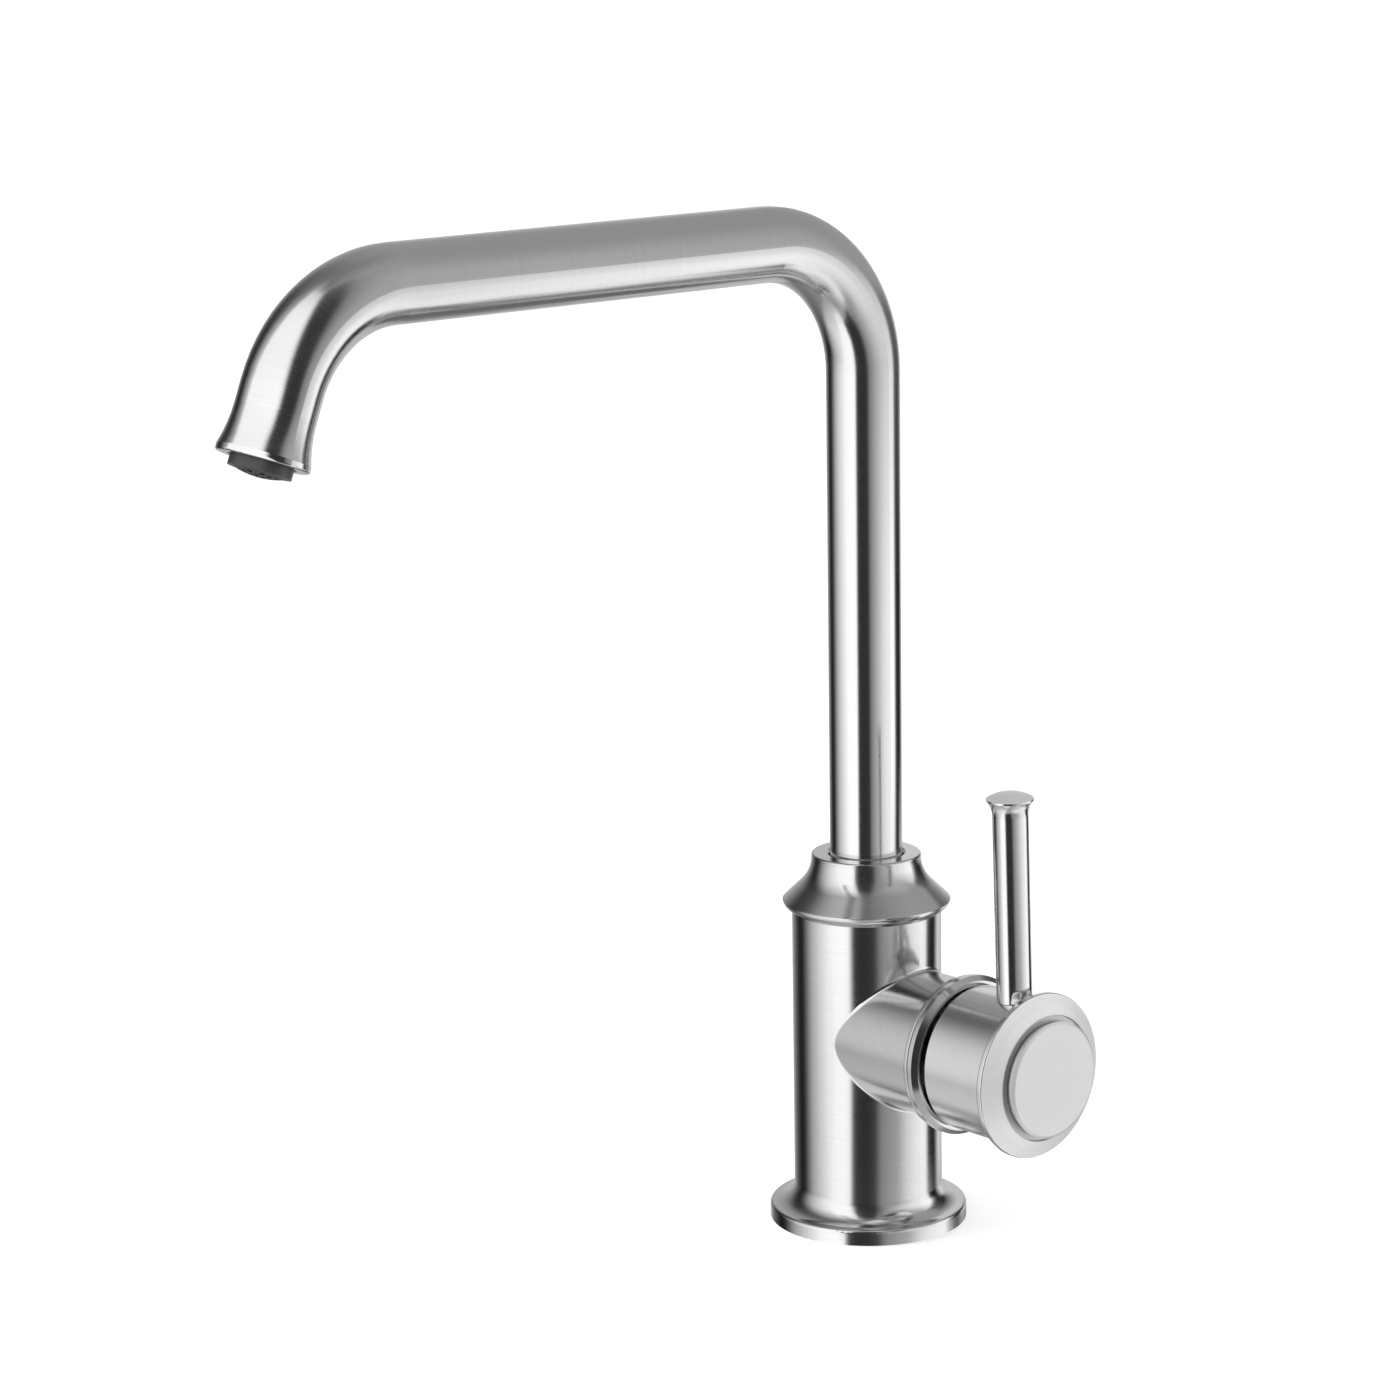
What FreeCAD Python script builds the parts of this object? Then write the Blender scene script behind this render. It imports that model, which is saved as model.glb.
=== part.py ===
import FreeCAD, Part
import math
import os

V = FreeCAD.Vector
X_AXIS = V(1, 0, 0)
Y_AXIS = V(0, 1, 0)
Z_AXIS = V(0, 0, 1)

# Frame: millimetres, +Z up, origin at the centre of the foot's underside.
# The spout reaches towards -Y and the handle's axis runs towards +X.

# ---------------------------------------------------------------- fits shared by several joints
running_fit = 0.05          # radial play of a turning joint
static_fit = 0.1            # radial play of pieces that stay put once assembled
glide_ring_fit = 0.5        # a glide ring's play in its seat
face_seal_proud = 0.4       # how far a face seal stands proud of its groove

# ---------------------------------------------------------------- cartridge
cartridge_r = 17.4
port_seal_t = 1.4
port_seal_wall = 0.9
base_t = 4.6
inlet_r = 2.8
inlet_pitch_r = 8.8         # inlet ports from the handle's axis
inlet_angle = 30.0          # degrees each side of straight down
mixed_port_r = 3.4
disc_r = 14.0
disc_t = 3.5
disc_fit = 0.25             # between the fixed disc and the housing
moving_disc_r = 12.6
pocket_depth = 1.5
pocket_lobe_angle = 48.0
pocket_lobe_at_rest = 100.0  # degrees from straight up towards -Y
carrier_r = 13.2
carrier_t = 3.5
carrier_lug_w = 4.0
carrier_lug_l = 2.2         # along the radius
carrier_lug_h = 1.2         # into the disc's back
spindle_flange_r = 8.0
spindle_flange_t = 2.0
spindle_tang_w = 3.6
spindle_tang_l = 11.0
spindle_r = 5.0
spindle_square = 7.0
spindle_ring_section = 1.2
housing_front_t = 2.6
housing_neck_wall = 3.35
housing_neck_l = 5.6
nut_thread_step = 1.1       # nut thread's radius over the cartridge's bore
nut_t = 4.0
nut_neck_r = 14.0
nut_bore_clearance = 1.0    # round the housing's neck
nut_neck_l = 2.0
nut_notch_w = 3.0
nut_notch_l = 2.3
nut_notch_count = 4

# ---------------------------------------------------------------- side boss and trim ring
handle_z = 59.6
seat_x = 15.8               # bottom of the cartridge's bore, from the body's axis
boss_wall = 3.5             # round the cartridge's bore
boss_cove_r = 1.9
boss_flange_step = 2.4      # end flange's radius over the boss
boss_flange_t = 1.4
boss_edge_round = 0.35
boss_root_fillet = 1.2
trim_ring_proud = 0.4       # over the boss's end flange
trim_ring_t = 3.6
trim_ring_front_bevel = 1.4
trim_ring_round = 0.8

# ---------------------------------------------------------------- body
body_over_boss = 1.4        # body's radius over the boss
body_top = 97.0
body_top_bevel = 0.9
foot_r = 29.8
foot_edge_h = 4.6
foot_edge_round = 1.0
foot_ledge = 1.2            # from the foot's edge to the flare
recess_r = 17.0             # hollow under the body that takes the hose ends
recess_h = 36.0
seal_inset = 4.3            # from the foot's edge to the middle of the deck seal
seal_w = 3.0
seal_t = 1.6

# ---------------------------------------------------------------- deck fixing and supply ports
stud_hole_r = 4.0           # M8 thread for the fixing stud
stud_hole_depth = 14.0
stud_hole_x = -10.0
hose_port_r = 5.0           # M10 thread for a supply hose
hose_port_depth = 11.0
hose_port_x = 5.0
hose_port_y = 6.5
supply_bore_r = 3.2

# ---------------------------------------------------------------- spout socket and collar
socket_r = 12.0
socket_depth = 21.0         # from the body's top face to the socket's floor
gland_ledge = 5.0           # gland's radius over the socket; the collar screws into the gland
gland_depth = 11.0
glide_ring_t = 1.0
outlet_bore_r = 4.5
lip_overhang = 2.8          # lip's top edge over the body
lip_undercut = 1.0          # lip's bottom edge inside its top edge
lip_bulge = 0.2
lip_h = 2.7                 # lip's top edge over the body's top face
lip_bevel = 0.4
shadow_gap = 0.4            # open joint between the lip and the body
shadow_gap_depth = 1.2
collar_slope = 44.0         # degrees, from level
collar_cove_r = 11.0
collar_neck_wall = 5.2
collar_neck_h = 0.4         # straight part of the neck above the cove
collar_top_round = 0.7
collar_wiper_h = 5.0        # length of the close bore round the tube
collar_tube_gap = 0.4

# ---------------------------------------------------------------- spout
tube_r = 10.8
tube_wall = 1.2
run_height = 297.0          # centreline height at the start of the run
run_droop = 0.5             # degrees below level
run_reach = 170.1           # from the riser's axis to the outlet bend
elbow_r = 39.0
outlet_bend_r = 38.4
outlet_lean = 21.5          # degrees, outlet axis from vertical
outlet_straight = 19.1      # from the bend's end to the rim
bell_length = 13.0
bell_swell = 1.65           # rim's radius over the tube
rim_band = 1.8
rim_round = 0.7

# ---------------------------------------------------------------- spout adapter
adapter_flange_clearance = 1.5
adapter_flange_t = 2.5
adapter_sleeve_wall = 1.8
adapter_sleeve_h = 8.5
adapter_bore_r = 8.5
adapter_floor_gap = 1.0     # under the adapter, above the socket's floor
tube_seat_t = 1.2           # ledge that the tube's end stands on
adapter_ring_section = 1.6
o_ring_groove_extra = 0.4   # groove's width over the ring's section
adapter_ring_pitch = 4.2

# ---------------------------------------------------------------- aerator
aerator_r = 9.25            # M18.5 thread
aerator_depth = 8.2
aerator_proud = 2.7
aerator_lip_step = 0.8      # lip's radius under the thread's
aerator_shell_t = 1.2
aerator_seal_t = 0.8
aerator_ledge_t = 2.0
aerator_ledge_w = 2.25
strainer_rise = 2.2
strainer_t = 0.6
strainer_rings = ((6, 2.1), (12, 4.3))  # hole count and pitch radius
diffuser_t = 1.2
diffuser_hole_r = 0.65
diffuser_hole_count = 10
diffuser_pitch_r = 5.0
nozzle_t = 3.0
nozzle_bulge = 1.3
nozzle_hole_w = 1.5
nozzle_pitch = 2.3
nozzle_rows = 5

# ---------------------------------------------------------------- handle
drum_over_boss = 0.5        # drum's radius over the boss
drum_gap = 1.0              # between the trim ring and the drum
drum_length = 26.2          # from its rear edge to its face
drum_rear_bevel = 0.9
drum_wall = 2.2
drum_web_t = 14.2           # solid end, back from the face
drum_cove_r = 1.5
drum_flange_step = 2.8      # flange's radius over the drum
drum_flange_t = 2.0
drum_flange_round = 0.5
drum_nose = 3.0             # rise of the cone inside the flange
hub_wall = 2.6
hub_gap = 1.2               # between the hub and the cartridge's neck
spindle_setback = 9.0       # from the drum's face back to the spindle's end
screw_r = 2.0               # M4
screw_clearance = 0.3
screw_head_r = 3.5
screw_head_h = 4.0
screw_land_t = 2.3
screw_grip = 8.7            # thread inside the spindle
screw_key_w = 3.0
cap_seat_r = 18.6
cap_seat_depth = 3.8
cap_base_t = 3.0            # leaves a ring groove below the drum's nose
cap_groove_w = 1.4
cap_rise = 2.9
cap_bevel_r = 0.8
cap_bevel_x = 0.5
cap_pocket_clearance = 4.5  # round the screw's head
cap_pocket_depth = 2.0
lever_setback = 9.3         # from the drum's face back to the lever's axis
lever_r = 5.2
lever_lean = 2.0            # degrees forward of upright when the tap is off
lever_seat_gap = 0.1        # under the rod's saddled foot
lever_length = 61.6         # from the drum's surface to the top of the dome
lever_tip_swell = 1.65      # tip's radius over the rod
lever_flare_l = 4.6
lever_tip_band = 0.5
lever_dome_h = 1.9
stud_r = 3.0                # M6
stud_in_drum = 9.0
stud_in_lever = 9.0

# ---------------------------------------------------------------- radii that follow
cartridge_bore_r = cartridge_r + static_fit
nut_thread_r = cartridge_bore_r + nut_thread_step
housing_bore_r = spindle_r + running_fit
housing_neck_r = housing_bore_r + housing_neck_wall
nut_bore_r = housing_neck_r + nut_bore_clearance
boss_r = cartridge_bore_r + boss_wall
boss_flange_r = boss_r + boss_flange_step
trim_ring_r = boss_flange_r + trim_ring_proud
body_r = boss_r + body_over_boss
seal_r = foot_r - seal_inset
gland_r = socket_r + gland_ledge
adapter_plug_r = socket_r - running_fit
adapter_flange_r = gland_r - adapter_flange_clearance
adapter_sleeve_r = tube_r + adapter_sleeve_wall
collar_bore_r = adapter_sleeve_r + collar_tube_gap
wiper_bore_r = tube_r + collar_tube_gap
collar_neck_r = wiper_bore_r + collar_neck_wall
lip_r = body_r + lip_overhang
rim_r = tube_r + bell_swell
tube_bore_r = tube_r - tube_wall
aerator_lip_r = aerator_r - aerator_lip_step
aerator_inner_r = aerator_lip_r - aerator_shell_t
aerator_ledge_r = aerator_r - aerator_ledge_w
drum_r = boss_r + drum_over_boss
drum_flange_r = drum_r + drum_flange_step
hub_r = spindle_r + hub_wall
cap_r = cap_seat_r - cap_groove_w
lever_tip_r = lever_r + lever_tip_swell

# ---------------------------------------------------------------- places along the handle's axis
base_x = seat_x + face_seal_proud
base_end_x = base_x + base_t
disc_x = base_end_x + face_seal_proud
moving_x = disc_x + disc_t
carrier_x = moving_x + disc_t
spindle_x = carrier_x + carrier_t
spindle_flange_x = spindle_x + spindle_flange_t
housing_front_x = spindle_flange_x + static_fit
nut_x = housing_front_x + housing_front_t
boss_end_x = nut_x + nut_t
housing_end_x = nut_x + housing_neck_l
spindle_ring_x = (nut_x + housing_end_x) / 2
hub_start_x = housing_end_x + hub_gap
ring_end_x = boss_end_x + trim_ring_t
drum_start_x = ring_end_x + drum_gap
drum_face_x = drum_start_x + drum_length
drum_nose_x = drum_face_x + drum_nose
cap_seat_x = drum_nose_x - cap_seat_depth
cap_front_x = drum_nose_x + cap_rise
spindle_end_x = drum_face_x - spindle_setback
screw_land_x = spindle_end_x + screw_land_t
screw_tip_x = spindle_end_x - screw_grip
lever_x = drum_face_x - lever_setback

# ---------------------------------------------------------------- heights in the spout's joint
gland_floor = body_top - gland_depth
flange_bottom = gland_floor + glide_ring_t
flange_top = flange_bottom + adapter_flange_t
spigot_bottom = flange_top + glide_ring_t
socket_floor = body_top - socket_depth
adapter_bottom = socket_floor + adapter_floor_gap
tube_foot = flange_bottom + tube_seat_t
sleeve_top = flange_top + adapter_sleeve_h

# ---------------------------------------------------------------- places along the outlet's axis
# Measured from the rim; minus is up inside the spout.
aerator_seal_z = -aerator_depth - aerator_seal_t
aerator_ledge_z = aerator_seal_z - aerator_ledge_t


# ---------------------------------------------------------------- building blocks
def polar(centre, radius, degrees):
    angle = math.radians(degrees)
    return (centre[0] + radius * math.cos(angle), centre[1] + radius * math.sin(angle))


def bend(centre, radius, start, end):
    """A profile step that follows an arc from `start` to `end` degrees."""
    return polar(centre, radius, end) + polar(centre, radius, (start + end) / 2)


def dome(radius, base, rise):
    """A profile step from (radius, base) over a shallow dome to its crown on the axis."""
    sphere_r = (radius ** 2 + rise ** 2) / (2 * rise)
    middle = (radius / 2, base + rise - sphere_r + math.sqrt(sphere_r ** 2 - radius ** 2 / 4))
    return (0, base + rise) + middle


def flare(inner, start, outer, end):
    """A profile step that swells from (inner, start), in line with the wall, to (outer, end)."""
    swell = outer - inner
    length = end - start
    flare_r = (length ** 2 + swell ** 2) / (2 * swell)
    rise = flare_r - math.sqrt(flare_r ** 2 - length ** 2 / 4)
    return (outer, end, inner + rise, start + length / 2)


def turned(*steps):
    """A solid turned about Z. A step is (r, z), or (r, z, r_mid, z_mid) where an arc leads to it."""
    edges = []
    here = V(steps[0][0], 0, steps[0][1])
    for step in steps[1:] + steps[:1]:
        there = V(step[0], 0, step[1])
        if len(step) == 4:
            edges.append(Part.Arc(here, V(step[2], 0, step[3]), there).toShape())
        else:
            edges.append(Part.LineSegment(here, there).toShape())
        here = there
    return Part.Face(Part.Wire(edges)).revolve(V(0, 0, 0), Z_AXIS, 360)


def cylinder(radius, start, end, x=0, y=0):
    return Part.makeCylinder(radius, end - start, V(x, y, start))


def ring(inner, outer, start, end):
    return turned((inner, start), (outer, start), (outer, end), (inner, end))


def block(x_size, y_size, start, end):
    return Part.makeBox(x_size, y_size, end - start, V(-x_size / 2, -y_size / 2, start))


def o_ring(outer, section, z):
    return Part.makeTorus(outer - section / 2, section / 2, V(0, 0, z))


def o_ring_groove(outer, section, z):
    half = (section + o_ring_groove_extra) / 2
    return ring(outer - section, outer, z - half, z + half)


def spun(shape, degrees, axis=Z_AXIS, centre=V(0, 0, 0)):
    copy = shape.copy()
    copy.rotate(centre, axis, degrees)
    return copy


def round_pattern(shape, count, first=0.0):
    """Copies of a shape spaced evenly about Z, the first turned by `first` degrees."""
    return [spun(shape, first + 360 / count * i) for i in range(count)]


def on_handle_axis(shape):
    """Lay a piece that was turned about Z along the handle's axis: its Z becomes X, its X points down."""
    laid = spun(shape, 90, Y_AXIS)
    laid.translate(V(0, 0, handle_z))
    return laid


def on_lever_axis(shape):
    """Stand a piece on the lever's axis, which starts on the handle's axis and leans forward."""
    stood = shape.copy()
    stood.translate(V(lever_x, 0, handle_z))
    return spun(stood, lever_lean, X_AXIS, V(lever_x, 0, handle_z))


def port_places():
    """The cartridge's cold, hot and mixed ports: (x, y, radius) in the handle's turned frame."""
    down = inlet_pitch_r * math.cos(math.radians(inlet_angle))
    side = inlet_pitch_r * math.sin(math.radians(inlet_angle))
    return [(down, -side, inlet_r), (down, side, inlet_r), (0, 0, mixed_port_r)]


# ---------------------------------------------------------------- fixed pieces
def body_outside():
    flare_r = foot_r - foot_ledge - body_r
    round_centre = (foot_r - foot_edge_round, foot_edge_h - foot_edge_round)
    flare_centre = (body_r + flare_r, foot_edge_h + flare_r)
    return turned(
        (0, 0),
        (foot_r, 0),
        (foot_r, round_centre[1]),
        bend(round_centre, foot_edge_round, 0, 90),
        (flare_centre[0], foot_edge_h),
        bend(flare_centre, flare_r, 270, 180),
        (body_r, body_top - body_top_bevel),
        (body_r - body_top_bevel, body_top),
        (0, body_top),
    )


def boss_outside():
    flange_x = boss_end_x - boss_flange_t
    cove_centre = (boss_r + boss_cove_r, flange_x - boss_cove_r)
    rear_round = (boss_flange_r - boss_edge_round, flange_x + boss_edge_round)
    front_round = (boss_flange_r - boss_edge_round, boss_end_x - boss_edge_round)
    return on_handle_axis(turned(
        (0, 0),
        (boss_r, 0),
        (boss_r, cove_centre[1]),
        bend(cove_centre, boss_cove_r, 180, 90),
        (rear_round[0], flange_x),
        bend(rear_round, boss_edge_round, 270, 360),
        (boss_flange_r, front_round[1]),
        bend(front_round, boss_edge_round, 0, 90),
        (0, boss_end_x),
    ))


def is_boss_root(edge):
    """True on the curve where the boss's cylinder leaves the body's cylinder."""
    for vertex in edge.Vertexes:
        point = vertex.Point
        on_body = abs(math.hypot(point.x, point.y) - body_r) < 0.01
        on_boss = abs(math.hypot(point.y, point.z - handle_z) - boss_r) < 0.01
        if not (on_body and on_boss and point.x > 0):
            return False
    return True


def cartridge_bore():
    return on_handle_axis(turned(
        (0, seat_x),
        (cartridge_bore_r, seat_x),
        (cartridge_bore_r, nut_x),
        (nut_thread_r, nut_x),
        (nut_thread_r, boss_end_x),
        (0, boss_end_x),
    ))


def waterways():
    """Two supply drillings up to the cartridge's seat, and one from its centre up to the spout."""
    cuts = []
    for down, side, radius in port_places()[:2]:
        inlet_z = handle_z - down
        riser_y = math.copysign(hose_port_y, side)
        port = cylinder(hose_port_r, recess_h, recess_h + hose_port_depth, hose_port_x, riser_y)
        riser = cylinder(supply_bore_r, recess_h, inlet_z + radius, hose_port_x, riser_y)
        feed = on_handle_axis(cylinder(radius, hose_port_x, seat_x, down, side))
        cuts += [port, riser, feed]
    mixed = on_handle_axis(cylinder(mixed_port_r, 0, seat_x))
    mixed_riser = cylinder(outlet_bore_r, handle_z - mixed_port_r, socket_floor)
    return cuts + [mixed, mixed_riser]


def valve_body():
    solid = body_outside().fuse(boss_outside())
    root_edges = [edge for edge in solid.Edges if is_boss_root(edge)]
    solid = solid.makeFillet(boss_root_fillet, root_edges)
    recess = cylinder(recess_r, 0, recess_h)
    stud_hole = cylinder(stud_hole_r, recess_h, recess_h + stud_hole_depth, stud_hole_x)
    socket = cylinder(socket_r, socket_floor, body_top)
    gland = cylinder(gland_r, gland_floor, body_top)
    cuts = [base_seal(), recess, stud_hole, socket, gland, cartridge_bore()] + waterways()
    return solid.cut(cuts)


def base_seal():
    return ring(seal_r - seal_w / 2, seal_r + seal_w / 2, 0, seal_t)


def lower_glide_ring():
    return ring(socket_r + glide_ring_fit, gland_r - glide_ring_fit, gland_floor, flange_bottom)


def upper_glide_ring():
    return ring(collar_bore_r, gland_r - glide_ring_fit, flange_top, spigot_bottom)


def spout_collar():
    """The bell-shaped cap nut: threaded spigot, lip, sloping cove and a close bore round the tube."""
    lip_bottom = body_top + shadow_gap
    lip_top = body_top + lip_h
    lip_bottom_r = lip_r - lip_undercut
    lip_corner_r = lip_r - lip_bevel
    lip_middle = ((lip_r + lip_bottom_r) / 2 + lip_bulge, (lip_bottom + lip_top - lip_bevel) / 2)
    slope_start = 270 - collar_slope
    slope_top_r = collar_neck_r + collar_cove_r + collar_cove_r * math.cos(math.radians(slope_start))
    slope_top = lip_top + (lip_corner_r - slope_top_r) * math.tan(math.radians(collar_slope))
    cove_z = slope_top - collar_cove_r * math.sin(math.radians(slope_start))
    round_z = cove_z + collar_neck_h
    top = round_z + collar_top_round
    return turned(
        (collar_bore_r, spigot_bottom),
        (gland_r, spigot_bottom),
        (gland_r, body_top),
        (body_r - shadow_gap_depth, body_top),
        (body_r - shadow_gap_depth, lip_bottom),
        (lip_bottom_r, lip_bottom),
        (lip_r, lip_top - lip_bevel) + lip_middle,
        (lip_corner_r, lip_top),
        (slope_top_r, slope_top),
        bend((collar_neck_r + collar_cove_r, cove_z), collar_cove_r, slope_start, 180),
        (collar_neck_r, round_z),
        bend((collar_neck_r - collar_top_round, round_z), collar_top_round, 0, 90),
        (wiper_bore_r + collar_top_round, top),
        (wiper_bore_r, round_z),
        (wiper_bore_r, top - collar_wiper_h),
        (collar_bore_r, top - collar_wiper_h),
    )


def cartridge_base():
    """The cartridge's bottom plate, with its ports and a seal groove round each on both faces."""
    plate = cylinder(cartridge_r, base_x, base_end_x)
    cuts = []
    for x, y, radius in port_places():
        groove_r = radius + port_seal_wall
        cuts.append(cylinder(radius, base_x, base_end_x, x, y))
        cuts.append(cylinder(groove_r, base_x, seat_x + port_seal_t, x, y))
        cuts.append(cylinder(groove_r, disc_x - port_seal_t, base_end_x, x, y))
    return on_handle_axis(plate.cut(cuts))


def port_seals(start):
    """A face seal round each port."""
    seals = []
    for x, y, radius in port_places():
        outside = cylinder(radius + port_seal_wall, start, start + port_seal_t, x, y)
        seals.append(outside.cut(cylinder(radius, start, start + port_seal_t, x, y)))
    return on_handle_axis(Part.makeCompound(seals))


def fixed_ceramic_disc():
    disc = cylinder(disc_r, disc_x, moving_x)
    ports = [cylinder(radius, disc_x, moving_x, x, y) for x, y, radius in port_places()]
    return on_handle_axis(disc.cut(ports))


def cartridge_housing():
    """Plastic cup over the discs, open towards the base plate, with a neck that guides the spindle."""
    inner_r = disc_r + disc_fit
    return on_handle_axis(turned(
        (inner_r, base_end_x),
        (cartridge_r, base_end_x),
        (cartridge_r, nut_x),
        (housing_neck_r, nut_x),
        (housing_neck_r, housing_end_x),
        (housing_bore_r, housing_end_x),
        (housing_bore_r, housing_front_x),
        (inner_r, housing_front_x),
    ))


def cartridge_nut():
    """Brass nut that clamps the cartridge; a neck carries the trim ring and its notches take a spanner."""
    neck_end = boss_end_x + nut_neck_l
    nut = turned(
        (nut_bore_r, nut_x),
        (nut_thread_r, nut_x),
        (nut_thread_r, boss_end_x),
        (nut_neck_r, boss_end_x),
        (nut_neck_r, neck_end),
        (nut_bore_r, neck_end),
    )
    spoke = Part.makeBox(nut_neck_r, nut_notch_w, nut_neck_l, V(0, -nut_notch_w / 2, boss_end_x))
    notch = spoke.cut(cylinder(nut_neck_r - nut_notch_l, boss_end_x, neck_end))
    return on_handle_axis(nut.cut(round_pattern(notch, nut_notch_count)))


def trim_ring():
    rear_centre = (trim_ring_r - trim_ring_round, boss_end_x + trim_ring_round)
    return on_handle_axis(turned(
        (nut_neck_r, boss_end_x),
        (rear_centre[0], boss_end_x),
        bend(rear_centre, trim_ring_round, 270, 360),
        (trim_ring_r, ring_end_x - trim_ring_front_bevel),
        (trim_ring_r - trim_ring_front_bevel, ring_end_x),
        (nut_neck_r, ring_end_x),
    ))


# ---------------------------------------------------------------- handle pieces
def carrier_lugs():
    """Two lugs that key the disc carrier into the back of the moving disc, clear of its pocket."""
    bar = block(2 * moving_disc_r, carrier_lug_w, carrier_x - carrier_lug_h, carrier_x)
    rim = ring(moving_disc_r - carrier_lug_l, moving_disc_r, carrier_x - carrier_lug_h, carrier_x)
    return bar.common(rim)


def moving_ceramic_disc():
    """Upper disc: a pocket in its sealing face joins an inlet to the centre as it turns."""
    disc = cylinder(moving_disc_r, moving_x, carrier_x)
    hub = cylinder(mixed_port_r + port_seal_wall, moving_x, moving_x + pocket_depth)
    reach = inlet_pitch_r + inlet_r
    lobe = Part.makeCylinder(reach, pocket_depth, V(0, 0, moving_x), Z_AXIS, pocket_lobe_angle)
    lobe = spun(lobe, 180 + pocket_lobe_at_rest - pocket_lobe_angle / 2)
    return on_handle_axis(disc.cut([hub.fuse(lobe), carrier_lugs()]))


def disc_carrier():
    plate = cylinder(carrier_r, carrier_x, spindle_x)
    slot = block(spindle_tang_w, spindle_tang_l, carrier_x, spindle_x)
    return on_handle_axis(plate.fuse(carrier_lugs()).cut(slot))


def spindle():
    """Tang, flange, round shank and a square end that drives the handle; tapped for the fixing screw."""
    tang = block(spindle_tang_w, spindle_tang_l, carrier_x, spindle_x)
    flange = cylinder(spindle_flange_r, spindle_x, spindle_flange_x)
    shank = cylinder(spindle_r, spindle_flange_x, hub_start_x)
    square = block(spindle_square, spindle_square, hub_start_x, spindle_end_x)
    square = square.common(cylinder(spindle_r, hub_start_x, spindle_end_x))
    groove = o_ring_groove(spindle_r, spindle_ring_section, spindle_ring_x)
    tapping = cylinder(screw_r, screw_tip_x, spindle_end_x)
    return on_handle_axis(tang.fuse([flange, shank, square]).cut([groove, tapping]))


def spindle_o_ring():
    return on_handle_axis(o_ring(spindle_r, spindle_ring_section, spindle_ring_x))


def handle_drum():
    """Hollow drum with its end flange, the broached hub, the screw's land and the cap's seat."""
    wall_r = drum_r - drum_wall
    flange_x = drum_face_x - drum_flange_t
    web_x = drum_face_x - drum_web_t
    well_r = screw_head_r + screw_clearance
    hole_r = screw_r + screw_clearance
    cove_centre = (drum_r + drum_cove_r, flange_x - drum_cove_r)
    rear_round = (drum_flange_r - drum_flange_round, flange_x + drum_flange_round)
    front_round = (drum_flange_r - drum_flange_round, drum_face_x - drum_flange_round)
    drum = turned(
        (wall_r, drum_start_x),
        (drum_r - drum_rear_bevel, drum_start_x),
        (drum_r, drum_start_x + drum_rear_bevel),
        (drum_r, cove_centre[1]),
        bend(cove_centre, drum_cove_r, 180, 90),
        (rear_round[0], flange_x),
        bend(rear_round, drum_flange_round, 270, 360),
        (drum_flange_r, front_round[1]),
        bend(front_round, drum_flange_round, 0, 90),
        (cap_seat_r, drum_nose_x),
        (cap_seat_r, cap_seat_x),
        (well_r, cap_seat_x),
        (well_r, screw_land_x),
        (hole_r, screw_land_x),
        (hole_r, spindle_end_x),
        (0, spindle_end_x),
        (0, hub_start_x),
        (hub_r, hub_start_x),
        (hub_r, web_x),
        (wall_r, web_x),
    )
    side = spindle_square + 2 * running_fit
    broach = block(side, side, hub_start_x, spindle_end_x)
    broach = broach.common(cylinder(spindle_r + running_fit, hub_start_x, spindle_end_x))
    tapping = on_lever_axis(cylinder(stud_r, drum_r - stud_in_drum, drum_r))
    return on_handle_axis(drum.cut(broach)).cut(tapping)


def handle_screw():
    """Socket-head screw that draws the drum onto the spindle."""
    head_end = screw_land_x + screw_head_h
    key_floor = screw_land_x + screw_head_h / 2
    shank = cylinder(screw_r, screw_tip_x, screw_land_x)
    head = cylinder(screw_head_r, screw_land_x, head_end)
    corners = [polar((0, 0), screw_key_w / math.sqrt(3), 60 * i) for i in range(7)]
    key = Part.Face(Part.makePolygon([V(x, y, key_floor) for x, y in corners]))
    return on_handle_axis(shank.fuse(head).cut(key.extrude(V(0, 0, head_end - key_floor))))


def end_cap():
    """Raised plate that closes the drum; its base sinks below the drum's nose and leaves a groove."""
    pocket_r = screw_head_r + cap_pocket_clearance
    base_r = cap_seat_r - static_fit
    shoulder_x = cap_seat_x + cap_base_t
    return on_handle_axis(turned(
        (0, cap_seat_x + cap_pocket_depth),
        (pocket_r, cap_seat_x + cap_pocket_depth),
        (pocket_r, cap_seat_x),
        (base_r, cap_seat_x),
        (base_r, shoulder_x),
        (cap_r, shoulder_x),
        (cap_r, cap_front_x - cap_bevel_x),
        (cap_r - cap_bevel_r, cap_front_x),
        (0, cap_front_x),
    ))


def lever_stud():
    """Threaded stud that joins the rod to the drum."""
    return on_lever_axis(cylinder(stud_r, drum_r - stud_in_drum, drum_r + stud_in_lever))


def lever_rod():
    """Plain rod with a foot saddled to the drum, a flared tip and a shallow domed end."""
    foot = drum_r - lever_r
    band_end = drum_r + lever_length - lever_dome_h
    band_start = band_end - lever_tip_band
    flare_start = band_start - lever_flare_l
    rod = turned(
        (0, foot),
        (lever_r, foot),
        (lever_r, flare_start),
        flare(lever_r, flare_start, lever_tip_r, band_start),
        (lever_tip_r, band_end),
        dome(lever_tip_r, band_end, lever_dome_h),
    )
    saddle = spun(cylinder(drum_r + lever_seat_gap, -drum_r, drum_r), 90, Y_AXIS)
    tapping = cylinder(stud_r, foot, drum_r + stud_in_lever)
    return on_lever_axis(rod.cut([saddle, tapping]))


# ---------------------------------------------------------------- spout pieces
def spout_point(place):
    """A point of the spout's plane: `place` is (reach, height)."""
    return V(0, -place[0], place[1])


def arc_from(place, heading, turn, radius):
    """A tangent arc; heading is in degrees from straight up towards the outlet. Returns edge and end."""
    centre = polar(place, radius, -heading)
    middle = polar(centre, radius, 180 - heading - turn / 2)
    end = polar(centre, radius, 180 - heading - turn)
    arc = Part.Arc(spout_point(place), spout_point(middle), spout_point(end))
    return arc.toShape(), end


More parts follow.
